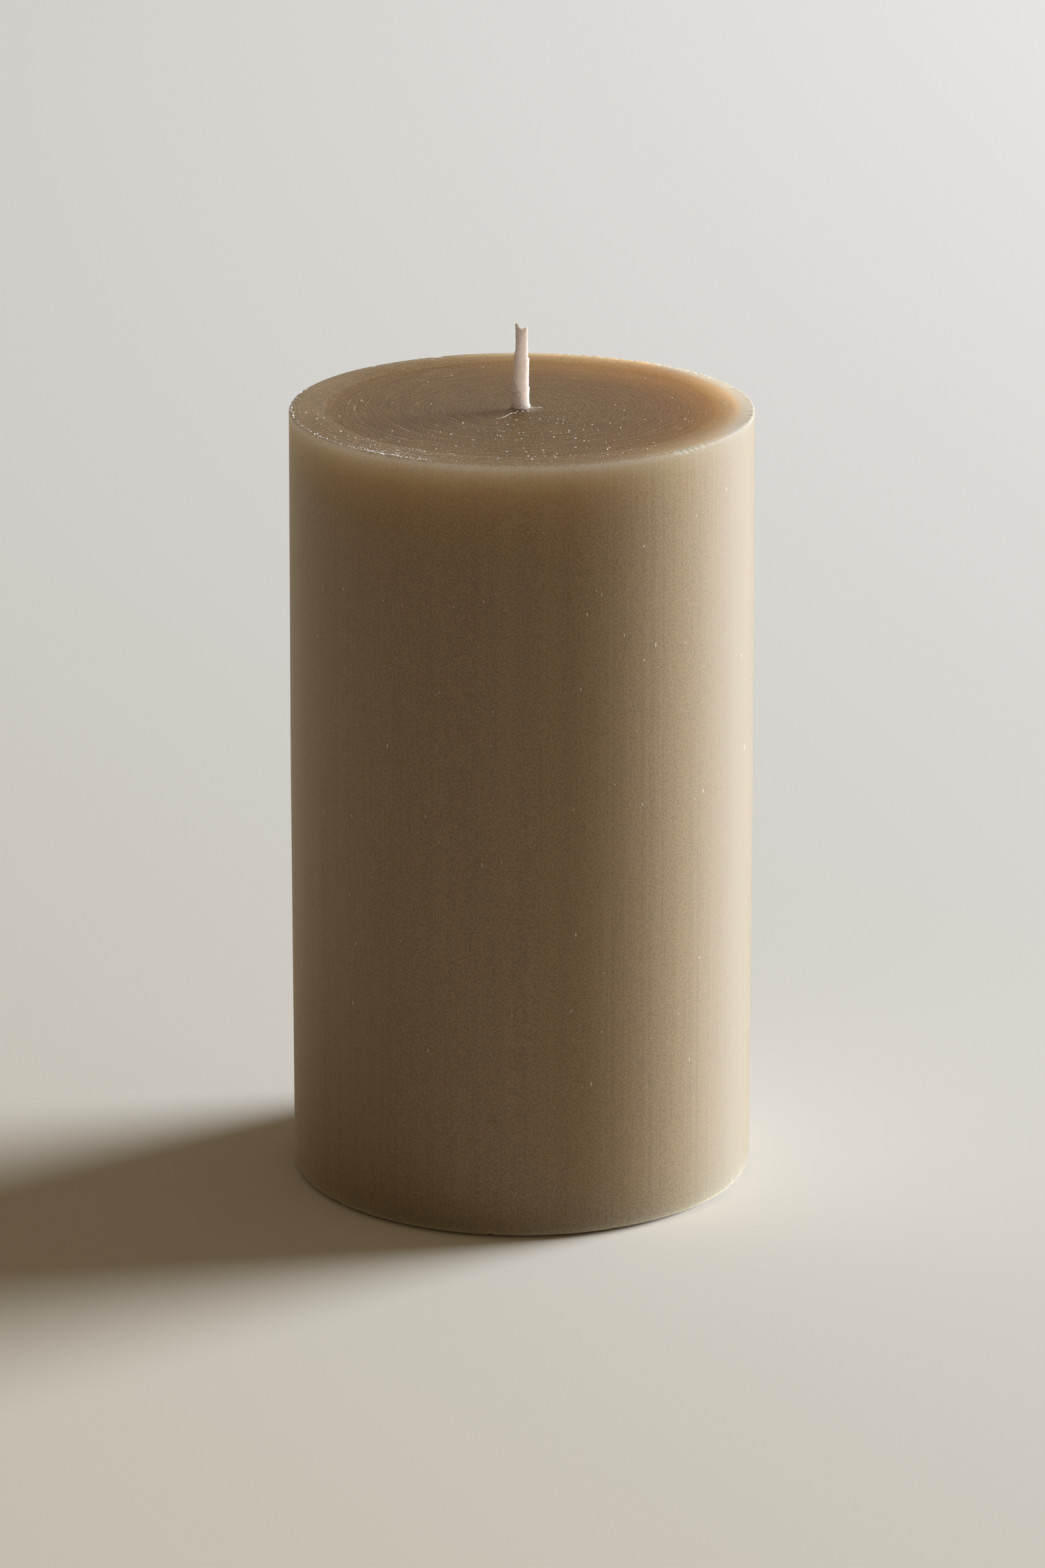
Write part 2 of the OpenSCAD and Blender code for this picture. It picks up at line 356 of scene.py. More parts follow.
def rim_damage(along):
    """Depth and paleness of all the damage at a distance along mm from the rim."""
    chip_depth, worn = chipped(RIM_CHIPS, along)
    knock_depth, _ = chipped(RIM_KNOCKS, along)
    bite_depth = rim_bites * ramp(along, BITE_REACH, -BITE_REACH)
    return np.maximum(np.maximum(chip_depth, knock_depth), bite_depth), worn


# The count is of columns where the rim carries painted shade.
print("bites up to", rim_bites.max().round(2), "mm deep, dense columns:", int((rim_painted_shade > 0.5).sum()))

# %% The rings of the rim
RIM_RIPPLE = 0.03
RIM_DROPS = (1.3, 1.0, 0.8, 0.6, RIM_WEAR)
# Each is (share of the way over the rim, whether it is the crest).
RIM_STEPS = ((0.33, 0), (0.6, 0), (0.75, 1), (0.87, 0), (1.0, 0))
rim_lines = draw_lines(RIM_Z)
rim_noise = ripple(20, 300, 21)
rim_wave = ripple(2, 14, 22)

for drop in RIM_DROPS:
    depth, worn = rim_damage(drop)
    ring(BODY_R - rim_lines - depth * CHIP_SHARE, RIM_Z - drop - depth * CHIP_SHARE, worn)
for share, crest in RIM_STEPS:
    depth, worn = rim_damage(RIM_WEAR * (1 - share) * 0.5)
    rounding = RIM_WEAR * (1 - math.cos(share * math.pi / 2))
    rise = RIM_WEAR * math.sin(share * math.pi / 2)
    radius = BODY_R - rim_lines - rounding - depth * CHIP_SHARE + RIM_RIPPLE * rim_noise * share
    height = RIM_Z - RIM_WEAR + rise - depth * CHIP_SHARE - RIM_RIPPLE * (1 - rim_wave) * share
    # The rim's rounding takes off its painted shade.
    ring(radius, height, np.maximum(worn, crest_worn * crest) - rim_painted_shade, 1)
print("rings so far:", len(rings))

# %% [markdown]
# ## The turned top
#
# The face was cut with a tool that dragged: a sloping band about 6 mm wide round the edge, then a small
# step down to a flat floor with rings at uneven spacings. The lip of a ring catches light only here and
# there, so a painted highlight lies on it, a wave that is mostly zero. At the very middle the wax creeps
# 0.16 mm up the wick, and a painted reflection makes it pale there.

# %% The band and its step
BAND_RIPPLE = 0.02
BAND_INWARDS = (0.2, 0.4, 0.6, 0.8, 1.2, 2.0, 3.0, 4.0, 4.8)
# The band is a little pale in three arcs, each (how pale, first angle, last angle, fade). The first, on the
# right where the light comes through the rim, is a painted highlight.
PALE_ARCS = [(0.12, -64, 24, 36), (0.15, 95, 205, 40), (0.07, 190, 250, 20)]
PALE_OVER = 1.2
# Chips dent the band by this share of their depth.
BAND_CHIP_SHARE = 0.5
# How pale the painted highlight on the step's lip is.
LIP_HIGHLIGHT = 0.4
band_wave = ripple(2, 9, 31)


def band_height(radius):
    """Height of the sloping band at a radius."""
    share = (BODY_R - RIM_WEAR - radius) / (BAND_W - RIM_WEAR)
    return (RIM_Z - BAND_FALL * share - RIM_RIPPLE * (1 - rim_wave) * (1 - share)
            + BAND_RIPPLE * band_wave * share)


band_pale = np.max([pale * between(*arc) for pale, *arc in PALE_ARCS], axis=0)
# The band carries the right arc's painted highlight and the rim's painted shade.
for inwards in BAND_INWARDS:
    depth, worn = rim_damage(inwards)
    radius = BODY_R - RIM_WEAR - inwards
    worn = np.maximum(worn, band_pale * ramp(inwards, 0, PALE_OVER))
    ring(radius, band_height(radius) - depth * BAND_CHIP_SHARE, worn - painted_shade(inwards), 1)

lip_arcs = between(-178, -132, 20) + between(-60, -22, 14) + 0.6 * ripple(6, 40, 32)
lip_worn = np.clip(0.55 + ripple(20, 300, 33), 0, 1) * np.clip(lip_arcs, 0, 1)
step_painted_shade = painted_shade(BAND_W)
# Each ring of the step is (distance outside the floor, height, how pale). The lip's paleness is a painted
# highlight, and the rim's painted shade is taken off each ring.
for outside, height, pale in (
        (0.50, BAND_Z, band_pale), (0.34, BAND_Z - 0.01, 0),
        (0.22, BAND_Z - 0.03 + 0.02 * lip_worn, LIP_HIGHLIGHT * lip_worn),
        (0.10, BAND_Z - 0.06, 0), (-0.30, FLOOR_Z + 0.01, 0), (-0.70, FLOOR_Z, 0)):
    ring(FLOOR_R + outside, height, pale - step_painted_shade, 1)
print("rings so far:", len(rings))

# %% The floor of the top
# Each ring that the tool cut is (radius, depth, share of its lip that shows a painted highlight), in mm.
FLOOR_RINGS = [
    (27.6, 0.020, 0.6), (26.2, 0.024, 0.6), (24.9, 0.040, 0.9), (23.4, 0.026, 0.7), (21.0, 0.036, 0.6),
    (18.6, 0.022, 0.5), (16.0, 0.028, 0.7), (12.9, 0.020, 0.5), (11.7, 0.030, 0.6), (7.9, 0.022, 0.4),
]
LIP_RISE = 0.006
WOBBLE = 0.06
# The wax that climbs the wick is (distance from the wick, rise, how pale). Its paleness is a painted
# reflection.
WICK_CLIMB = [(2.6, 0.0, 0), (1.5, 0.02, 0.1), (0.8, 0.05, 0.3),
              (0.4, 0.08, 0.5), (0.15, 0.12, 0.6), (0.0, 0.16, 0.6)]

for number, (radius, cut, pale) in enumerate(FLOOR_RINGS):
    # A lip's pale share is a painted highlight, and each ring takes off the rim's painted shade.
    wobble = WOBBLE * ripple(2, 5, 40 + number)
    lip = pale * np.clip(ripple(3, 40, 50 + number) * 2 - 0.6, 0, 1)
    ring_painted_shade = painted_shade(BODY_R - radius)
    for away, rise, worn in ((0.9, 0, 0), (0.30, 0, 0), (0.16, LIP_RISE, lip),
                             (0.04, -cut, 0), (-0.25, 0, 0)):
        ring(radius + away + wobble, FLOOR_Z + rise, worn - ring_painted_shade, 1)

# Painted reflection: the wax round the wick's foot is painted pale.
for away, rise, pale in WICK_CLIMB:
    ring(hole_r + away, FLOOR_Z + rise, pale, 1)
print("rings in all:", len(rings), "which makes", 2 * len(rings) * COLUMNS, "triangles")

# %% [markdown]
# ## From rings to a mesh
#
# Row k and row k + 1 are joined by quads, and the last row joins the first one, because the loop closes
# down the wick's hole. Two float attributes carry maps to the material. One is "worn".
# The other is "painted_highlight", a grey-white painted highlight where the light falls on the candle. It
# lies down the right of the side, and it is full on the right edge of the top.


# %% Build meshes from grids
def grid_mesh(name, points, closed_rows):
    """A mesh of quads between rows of points, an array of rows x columns x 3, in mm."""
    rows, columns = points.shape[:2]
    corner = np.arange(rows * columns).reshape(rows, columns)
    if closed_rows:
        corner = np.vstack([corner, corner[:1]])
    right = np.roll(corner, -1, axis=1)
    quads = np.stack([corner[:-1], right[:-1], right[1:], corner[1:]], axis=-1).reshape(-1, 4)
    mesh = bpy.data.meshes.new(name)
    mesh.from_pydata((points.reshape(-1, 3) * MM).tolist(), [], quads.tolist())
    mesh.shade_smooth()
    return mesh


def add_map(mesh, name, values):
    """Stores one number a point on the mesh, for the material to read."""
    attribute = mesh.attributes.new(name, "FLOAT", "POINT")
    attribute.data.foreach_set("value", np.asarray(values, dtype=np.float32).ravel())


table = np.array(rings)
# The map holds real breaks and painted light: pale painted highlights, and painted shade below zero.
radii, heights, worn_map, top_map = table[:, 0], table[:, 1], table[:, 2], table[:, 3]
print("map of worn wax from", worn_map.min().round(2), "to", worn_map.max().round(2))

# %% The wax body
SHARP_EDGE = math.radians(50)
PAINTED_HIGHLIGHT_SIDE_SHARE = 0.7
PAINTED_HIGHLIGHT_FROM, PAINTED_HIGHLIGHT_OVER = 30, 3

wax_points = np.stack([radii * np.cos(turn), radii * np.sin(turn), heights], axis=-1)
wax_mesh = grid_mesh("wax_body_looks", wax_points, closed_rows=True)
wax_mesh.set_sharp_from_angle(angle=SHARP_EDGE)
# A painted highlight on the lit right of the candle: 0.7 on the side, full on the top's right edge.
painted_highlight_map = PAINTED_HIGHLIGHT_SIDE_SHARE + (1 - PAINTED_HIGHLIGHT_SIDE_SHARE) * top_map
add_map(wax_mesh, "worn", worn_map)
add_map(wax_mesh, "painted_highlight", painted_highlight_map * between(-36, 60, 24) * ramp(radii, PAINTED_HIGHLIGHT_FROM, PAINTED_HIGHLIGHT_OVER))

wax = bpy.data.objects.new("wax_body_looks", wax_mesh)
bpy.context.collection.objects.link(wax)
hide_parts("wax_body")
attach(wax, "root")
print("wax mesh:", len(wax_mesh.vertices), "points,", len(wax_mesh.polygons), "quads")

# %% [markdown]
# ## Crumbs on the top
#
# Facing a candle leaves crumbs of wax that stick to it. A torn sliver lies in front of the wick, with
# flakes beside its foot. The cutter's burr stands on the rim at the left, as a row of specks. Dust lies
# on the band at the front left, where the cutter left the face, and crumbs are strewn over the rest, most
# of them at the front. Most are about a tenth of a millimetre across. Each is a small lump with its
# corners pushed about, and all of them are one mesh.

# %% Lumps of wax
LUMP = np.array([(1, 0, 0), (-1, 0, 0), (0, 1, 0), (0, -1, 0), (0, 0, 1), (0, 0, -1)], dtype=float)
LUMP_FACES = np.array([
    (0, 2, 4), (2, 1, 4), (1, 3, 4), (3, 0, 4), (2, 0, 5), (1, 2, 5), (3, 1, 5), (0, 3, 5)])
# A crumb's middle lies this share of its size above the ground.
RAISED = 0.3

rng = np.random.default_rng(61)
crumb_points, crumb_faces = [], []


def mostly(small, extra, power):
    """A random number from small to small + extra. The higher the power, the more lie near small."""
    return small + extra * rng.uniform() ** power


def keep_lump(lump, x, y, z):
    """Moves a lump to its place and adds it to the mesh."""
    crumb_faces.append(LUMP_FACES + len(LUMP) * len(crumb_points))
    crumb_points.append(lump + (x, y, z))


def add_crumb(x, y, ground, size, stretch, twist):
    """One lump of wax lying on the top, with its long side turned by twist."""
    lump = LUMP * size * rng.uniform(0.6, 1.3, LUMP.shape)
    lump[:, 0] *= stretch
    cos_twist, sin_twist = math.cos(twist), math.sin(twist)
    spin = np.array([[cos_twist, -sin_twist, 0], [sin_twist, cos_twist, 0], [0, 0, 1]])
    keep_lump(lump @ spin.T, x, y, ground + size * RAISED)


def add_crumb_round(away, heading, ground, size, stretch, twist):
    """A crumb placed by its distance and heading from the axis. At twist 0 it lies along the rim."""
    add_crumb(away * math.cos(heading), away * math.sin(heading), ground, size, stretch,
              heading + math.pi / 2 + twist)


print("a lump has", len(LUMP_FACES), "faces")

# %% The sliver, the burr and the flakes
# Sizes are in mm. One in brackets, like a stretch, is what mostly() takes, and a new draw each time.
SLIVER_STEPS = 16
SLIVER_SIZE, SLIVER_STRETCH, SLIVER_TWIST = 0.10, 2.5, 0.8
FLAKE_TWIST = 0.1
BURR_COUNT = 150
BURR_ARCS = [(-200, -168), (-166, -134), (-134, -112)]
BURR_SIZE, BURR_STRETCH = (0.05, 0.11, 3), (1, 2, 2)
BURR_INWARDS, BURR_SCATTER, BURR_SUNK = 0.42, 0.12, 0.02
# Each flake is (x, y, size, stretch).
FLAKES = [
    (-2.0, -0.5, 0.2, 1.5), (1.5, 0.3, 0.15, 2.5), (2.0, 0.6, 0.12, 3.0), (2.6, 0.7, 0.1, 4.0),
    (-1.5, -1.4, 0.16, 1.5), (-0.7, -1.7, 0.15, 2.0), (0.1, -1.8, 0.13, 1.5), (0.9, -1.6, 0.13, 2.0),
]

for k in range(SLIVER_STEPS):
    along = k / (SLIVER_STEPS - 1)
    add_crumb(-3.7 + 2.7 * along, -5.9 + 3.1 * along - 0.5 * math.sin(6 * along), FLOOR_Z,
              SLIVER_SIZE, SLIVER_STRETCH, SLIVER_TWIST)
for k in range(BURR_COUNT):
    heading = math.radians(rng.choice([rng.uniform(*arc) for arc in BURR_ARCS]))
    away = BODY_R - BURR_INWARDS + rng.normal(0, BURR_SCATTER)
    add_crumb_round(away, heading, RIM_Z - BURR_SUNK, mostly(*BURR_SIZE), mostly(*BURR_STRETCH), 0)
for x, y, size, stretch in FLAKES:
    add_crumb(x, y, FLOOR_Z, size, stretch, FLAKE_TWIST)
print("crumbs so far:", len(crumb_points))

# %% Dust and crumbs
# No dust or crumb lies nearer to the edge than this, in mm.
EDGE_GAP = 0.6
DUST_COUNT = 180
DUST_HEADING, DUST_SCATTER = -126, 9
DUST_REACH, DUST_LIMIT = 1.9, 5.0
DUST_SIZE, DUST_STRETCH, DUST_TWIST = (0.03, 0.035, 1), 1.5, 0.4
CRUMB_COUNT = 900
CRUMB_SIZE, CRUMB_STRETCH, CRUMB_TWIST = (0.035, 0.10, 4), (1, 2.0, 4), 0.5
# The chance that a crumb stays: anywhere, at the front, and near the rim at the front left.
STAYS, STAYS_FRONT, STAYS_RIM = 0.04, 0.5, 0.46
RIM_FROM, RIM_OVER = 24, 11

for k in range(DUST_COUNT):
    heading = math.radians(DUST_HEADING + rng.normal(0, DUST_SCATTER))
    away = BODY_R - EDGE_GAP - min(DUST_LIMIT, rng.exponential(DUST_REACH))
    add_crumb_round(away, heading, band_height(away).mean(),
                    mostly(*DUST_SIZE), DUST_STRETCH, rng.normal(0, DUST_TWIST))
while len(crumb_points) < CRUMB_COUNT:
    away = (BODY_R - EDGE_GAP) * math.sqrt(rng.uniform(0.004, 1))
    heading = rng.uniform(-math.pi, math.pi)
    front = 0.5 - 0.5 * math.sin(heading)
    left = 0.5 - 0.5 * math.cos(heading)
    near_rim = ramp(away, RIM_FROM, RIM_OVER)
    if rng.uniform() > STAYS + STAYS_FRONT * front ** 3 + STAYS_RIM * near_rim * left * front:
        continue
    ground = band_height(away).mean() if away > FLOOR_R else FLOOR_Z
    add_crumb_round(away, heading, ground,
                    mostly(*CRUMB_SIZE), mostly(*CRUMB_STRETCH), rng.normal(0, CRUMB_TWIST))
print("crumbs so far:", len(crumb_points))

# %% Specks on the side
# A few specks and short upright dashes stand on the side too, where the die picked the wax.
SPECK_COUNT = 120
SPECK_HEADINGS, SPECK_HEIGHTS = (-165, -12), (20, 114)
SPECK_SIZE, SPECK_STRETCH, SPECK_SUNK = (0.045, 0.055, 1), (1, 5, 2), 0.01

for k in range(SPECK_COUNT):
    heading, z = math.radians(rng.uniform(*SPECK_HEADINGS)), rng.uniform(*SPECK_HEIGHTS)
    column = int(heading / (2 * math.pi) * COLUMNS) % COLUMNS
    away = BODY_R - draw_lines(z)[column] - SPECK_SUNK
    speck = LUMP * mostly(*SPECK_SIZE) * rng.uniform(0.7, 1.2, LUMP.shape)
    speck[:, 2] *= mostly(*SPECK_STRETCH)
    keep_lump(speck, away * math.cos(heading), away * math.sin(heading), z)

crumb_mesh = bpy.data.meshes.new("wax_crumbs")
crumb_mesh.from_pydata((np.vstack(crumb_points) * MM).tolist(), [], np.vstack(crumb_faces).tolist())
crumbs = bpy.data.objects.new("wax_crumbs", crumb_mesh)
bpy.context.collection.objects.link(crumbs)
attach(crumbs, "root")
print("crumbs and specks:", len(crumb_points))

# %% [markdown]
# ## The wick
#
# A square-braided cotton wick, primed with wax, so its strands are soft slanting humps under a coat. The
# mesh is a tube of rounded rectangles that get narrower upwards. It twists over its first millimetres
# and turns back, a little past straight, from 4 mm up. A skin of wax runs down its left and makes it
# stand out there, thick and lumpy in the lower half and thinner above. Its right edge has three burrs of
# cotton. At the top the scissors nipped it: the middle sank and two horns stand up, the left one higher.

# %% Sizes of the wick
wick_low, wick_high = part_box("wick")
WICK_TOP = wick_high.z / MM
WICK_FOOT = wick_low.z / MM
WICK_STAND = WICK_TOP - FLOOR_Z
WICK_LEAN = -0.05
TIP_SHARE = 0.76
TAPER_POWER = 0.8
# Under its coat the braid is thinner than the hole, and the nip spreads it again at the tip.
BRAID_W_SHARE, BRAID_T_SHARE = 0.9, 0.95
WICK_SIDES = 96
WICK_ROWS = 260
SQUARENESS = 0.55
round_wick = np.linspace(0, 2 * np.pi, WICK_SIDES, endpoint=False)
print("the wick stands", round(WICK_STAND, 2), "mm above the floor of the top")

# %% The braid and the nip
STRAND = 1.45
STRAND_SLANT = 0.9
STRAND_RISE = 0.07
STRAND_MEAN = 0.6
STRAND_POWER = 0.6
RELIEF_OVER = 2.0
NIP_FROM = 0.75
NIP_DEPTH = 0.6
NIP_TILT = 0.15


def braid(along, side):
    """Height of the strands, 0 to 1. Along is in mm, and side runs from 0 to 4 round the four faces."""
    across = side % 1 - 0.5
    hand = np.where(np.floor(side) % 2 == 0, 1, -1)
    phase = along / STRAND + hand * across * STRAND_SLANT + 0.25 * np.floor(side)
    return np.abs(np.sin(np.pi * phase)) ** STRAND_POWER


def shaft(s, above):
    """Points of the braided wick at a share s of its height, which is above mm over the floor."""
    nip = ramp(s, NIP_FROM, 1 - NIP_FROM)
    width = WICK_W * (1 - (1 - TIP_SHARE) * s ** TAPER_POWER)
    width *= BRAID_W_SHARE + (1 - BRAID_W_SHARE) * nip ** 2
    thickness = WICK_T * (1 - (1 - TIP_SHARE) * s) * BRAID_T_SHARE
    x, y = wick_section(round_wick, width, thickness, SQUARENESS)
    side = (round_wick / (np.pi / 2) + 0.5) % 4
    humps = STRAND_RISE * (braid(above, side) - STRAND_MEAN) * ramp(above, 0, RELIEF_OVER)
    grown = 1 + humps / np.hypot(x, y)
    x, y = x * grown, y * grown
    u = x / (width / 2)
    z = above - nip ** 2 * (NIP_DEPTH * (1 - np.abs(u) ** 3) + NIP_TILT * (1 + u))
    return x, y, z


print("humps along one face:", int(WICK_STAND / STRAND))

# %% Wax and burrs on the wick
TWIST = math.radians(-24)
TWIST_OVER, TWIST_END, TWIST_FADE, TWIST_BACK = 1.5, 8.5, 4.5, -0.2
# Each bulge is (how far it stands out, where it ends, how softly), in mm above the floor.
SKIN_BULGE, SKIN_TOP, SKIN_FADE = 0.38, 5.4, 1.8
COAT_BULGE, COAT_TOP, COAT_FADE = 0.28, 9.4, 1.2
# The skin's lumps: how much they add, and radians per mm.
SKIN_LUMPS, SKIN_LUMP_RATE = 0.25, 5.1
# The foot of the wick is thicker by these shares of its width and thickness, over this height.
FOOT_WIDER, FOOT_THICKER, FOOT_FADE = 0.06, 0.10, 1.6
# Each burr is (its top edge above the floor, how far it stands out, how long it fades downwards), in mm.
WICK_BURRS = [(8.0, 0.24, 2.6), (3.6, 0.22, 0.8), (0.9, 0.2, 0.9)]
BURR_EDGE = 0.25
EDGE_REACH = 1.2
# Inside the wax the wick is this share of its hole, up to this far below the floor of the top.
HIDDEN_SHARE, HIDDEN_DEPTH = 0.98, 0.5


def left_bulge(above):
    """How far the wick's left edge stands out: the lumpy skin of the lower half, and the coat above."""
    skin = SKIN_BULGE * ramp(above, SKIN_TOP, -SKIN_FADE)
    skin *= 1 + SKIN_LUMPS * math.sin(SKIN_LUMP_RATE * above)
    return skin + COAT_BULGE * ramp(above, COAT_TOP, -COAT_FADE)


def burrs(above):
    """How far the wick's right edge stands out: each burr starts sharply and fades downwards."""
    return sum(out * ramp(above, top, -BURR_EDGE) * math.exp(-max(0, top - above) / fade)
               for top, out, fade in WICK_BURRS)


def turned_by(angle, x, y):
    """The points x and y, turned about the axis."""
    return x * math.cos(angle) - y * math.sin(angle), x * math.sin(angle) + y * math.cos(angle)


def wick_ring(s):
    """One row of the standing wick, s from 0 at the floor to 1 at the tip."""
    above = s * WICK_STAND
    x, y, z = shaft(s, above)
    turned_back = min(1.0, max(TWIST_BACK, (TWIST_END - above) / TWIST_FADE))
    x, y = turned_by(WICK_TURN + TWIST * ramp(above, 0, TWIST_OVER) * turned_back, x, y)
    x = x + WICK_LEAN * s ** 2
    left, right = ramp(x, 0, -EDGE_REACH), ramp(x, 0, EDGE_REACH)
    foot = math.exp(-above / FOOT_FADE)
    x = x * (1 + FOOT_WIDER * foot) - left_bulge(above) * left + burrs(above) * right
    y = y * (1 + FOOT_THICKER * foot)
    return np.stack([x, y, FLOOR_Z + z], axis=-1)


def hidden_ring(height):
    """A row of the wick inside the wax, a hair inside its hole."""
    x, y = wick_section(round_wick, HIDDEN_SHARE * WICK_W, HIDDEN_SHARE * WICK_T, SECTION_POWER)
    x, y = turned_by(WICK_TURN, x, y)
    return np.stack([x, y, np.full(WICK_SIDES, height)], axis=-1)


wick_rows = [hidden_ring(WICK_FOOT), hidden_ring(FLOOR_Z - HIDDEN_DEPTH)]
wick_rows += [wick_ring(k / WICK_ROWS) for k in range(WICK_ROWS + 1)]
wick_points = np.array(wick_rows)
print("wick rows:", len(wick_rows), "highest point", wick_points[..., 2].max().round(2))

# %% Close the wick's ends
# The tip is closed by rows that shrink to the middle and sink a little, like a torn end.
TIP_SINK = 0.25
TIP_ROWS = (0.8, 0.55, 0.3, 0.08)
tip_row = wick_points[-1]
tip_middle = tip_row.mean(axis=0) - (0, 0, TIP_SINK)
closing = [tip_middle + (tip_row - tip_middle) * share for share in TIP_ROWS]
wick_points = np.concatenate([wick_points, np.array(closing)])

wick_mesh = grid_mesh("wick_looks", wick_points, closed_rows=False)
shell = bmesh.new()
shell.from_mesh(wick_mesh)
bmesh.ops.holes_fill(shell, edges=[edge for edge in shell.edges if edge.is_boundary], sides=0)
shell.to_mesh(wick_mesh)
shell.free()
wick_mesh.shade_smooth()

wick = bpy.data.objects.new("wick_looks", wick_mesh)
bpy.context.collection.objects.link(wick)
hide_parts("wick")
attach(wick, "root")
print("wick mesh:", len(wick_mesh.polygons), "faces")

# %% [markdown]
# ## Helpers for materials
#
# Colours are written as sRGB hex values, as a paint chart gives them, and Blender works in linear light,
# so one function converts them. Another adds a node to a tree, sets it and links it. The few nodes that
# every material here needs, such as noise of a given size in mm, are then one short call each.


# %% Colour and node helpers
def linear(hex_colour):
    """The linear RGBA of an sRGB hex colour such as "#937c61"."""
    parts = [int(hex_colour[i:i + 2], 16) / 255 for i in (1, 3, 5)]
    return [p / 12.92 if p <= 0.04045 else ((p + 0.055) / 1.055) ** 2.4 for p in parts] + [1.0]


def add_node(tree, kind, inputs=None, **settings):
    """Adds a node. inputs maps sockets to constants or to the outputs of other nodes."""
    node = tree.nodes.new(kind)
    for name, value in settings.items():
        setattr(node, name, value)
    for socket, value in (inputs or {}).items():
        if isinstance(value, bpy.types.NodeSocket):
            tree.links.new(value, node.inputs[socket])
        else:
            node.inputs[socket].default_value = value
    return node


def new_material(name):
    """An empty material, its node tree and the place of a point in the object."""
    material = bpy.data.materials.new(name)
    material.use_nodes = True
    tree = material.node_tree
    tree.nodes.clear()
    return material, tree, add_node(tree, "ShaderNodeTexCoord").outputs["Object"]


def shade(tree, inputs, **settings):
    """Ends a material with its shader."""
    shader = add_node(tree, "ShaderNodeBsdfPrincipled", inputs, **settings)
    add_node(tree, "ShaderNodeOutputMaterial", {0: shader.outputs[0]})


print("taupe wax is", [round(v, 3) for v in linear("#937c61")[:3]], "in linear light")


# %% Nodes that several materials need
def noise(tree, place, size_mm, detail=2.0, roughness=0.5):
    """Noise from 0 to 1 in patches about size_mm across."""
    return add_node(tree, "ShaderNodeTexNoise", {
        "Vector": place, "Scale": 1 / (size_mm * MM), "Detail": detail, "Roughness": roughness,
    }).outputs["Fac"]


def squeezed(tree, place, shares):
    """The place with its axes squeezed. Noise grows long along an axis with a small share."""
    return add_node(tree, "ShaderNodeMapping", {"Vector": place, "Scale": shares}).outputs[0]


def spread(tree, value, low, high, to_low=0.0, to_high=1.0, **settings):
    """The value, mapped from low and high to to_low and to_high, and clamped there."""
    return add_node(tree, "ShaderNodeMapRange", {
        "Value": value, "From Min": low, "From Max": high, "To Min": to_low, "To Max": to_high,
    }, **settings).outputs["Result"]


def blend(tree, share, first, second):
    """Two colours blended: share 0 is all first, and 1 is all second."""
    return add_node(
        tree, "ShaderNodeMix", {"Factor": share, 6: first, 7: second}, data_type="RGBA").outputs[2]


def maths(tree, operation, first, second, **settings):
    """One step of arithmetic on two numbers."""
    return add_node(
        tree, "ShaderNodeMath", {0: first, 1: second}, operation=operation, **settings).outputs[0]


def relief(tree, height, high_mm, strength=0.5):
    """A bump that is high_mm from its lowest to its highest."""
    return add_node(tree, "ShaderNodeBump", {
        "Height": height, "Strength": strength, "Distance": high_mm * MM}).outputs["Normal"]


print("noise 0.3 mm across has a scale of", round(1 / (0.3 * MM)))

# %% [markdown]
# ## Taupe paraffin wax
#
# Paraffin wax with a taupe dye. Light goes millimetres into it and comes out warmer, because red travels
# furthest, so the edge of the top glows where the light passes through it. The three radii of the glow
# are the path lengths of red, green and blue in the wax, in mm. Where the map of wear and painted light is
# below zero they shrink, down to a sixth, which is painted shade. On the right edge of the top, where the
# painted highlight is full, they lie closer together, and the glow is cream, not orange: a painted
# highlight. A high entry IOR sends light straight down into the wax, as the rough skin of wax does.
#
# One recipe makes two finishes. The drawn side has fine upright lines from the die, 0.2 mm apart, in
# stripes some 2.5 mm wide. A warm sheen shows on it at grazing angles, because its bloom scatters light.
# The turned top has fine rings and no sheen. Both have a grain of 0.3 mm, hardly any gloss and no coat.
# A painted highlight tints the wax grey on its lit right, and broken wax and painted highlights are pale.
# IOR is 1.44, which is typical for paraffin.

# %% Patterns of the wax
STREAK_MM = 0.22
STREAK_SQUEEZE = 0.012
STRIPE_MM = 2.5
STRIPE_SHARE = 0.4
RING_MM = 0.3
RING_HEADINGS = 4.0


def drawn_streaks(tree, place):
    """Fine upright lines: noise that is squeezed in z, so each patch becomes a tall thin line."""
    upright = squeezed(tree, place, (1, 1, STREAK_SQUEEZE))
    fine = noise(tree, upright, STREAK_MM, detail=3.0, roughness=0.6)
    broad = noise(tree, upright, STRIPE_MM, detail=1.0)
    return add_node(tree, "ShaderNodeMix", {"Factor": STRIPE_SHARE, 2: fine, 3: broad}).outputs[0]


def tool_rings(tree, place):
    """Fine rings: noise over the distance from the axis, changing slowly with the heading."""
    flat = add_node(tree, "ShaderNodeVectorMath", {0: place, 1: (1, 1, 0)}, operation="MULTIPLY").outputs[0]
    away = add_node(tree, "ShaderNodeVectorMath", {0: flat}, operation="LENGTH").outputs["Value"]
    ring_number = maths(tree, "MULTIPLY", away, 1 / (RING_MM * MM))
    heading = add_node(tree, "ShaderNodeVectorMath", {0: flat}, operation="NORMALIZE").outputs[0]
    heading = add_node(
        tree, "ShaderNodeVectorMath", {0: heading, 3: RING_HEADINGS}, operation="SCALE").outputs[0]
    lift = add_node(tree, "ShaderNodeCombineXYZ", {2: ring_number}).outputs[0]
    ring_place = add_node(tree, "ShaderNodeVectorMath", {0: heading, 1: lift}, operation="ADD").outputs[0]
    return add_node(tree, "ShaderNodeTexNoise", {
        "Vector": ring_place, "Scale": 1.0, "Detail": 3.0, "Roughness": 0.6}).outputs["Fac"]


print("streaks", STREAK_MM, "mm and rings", RING_MM, "mm apart")

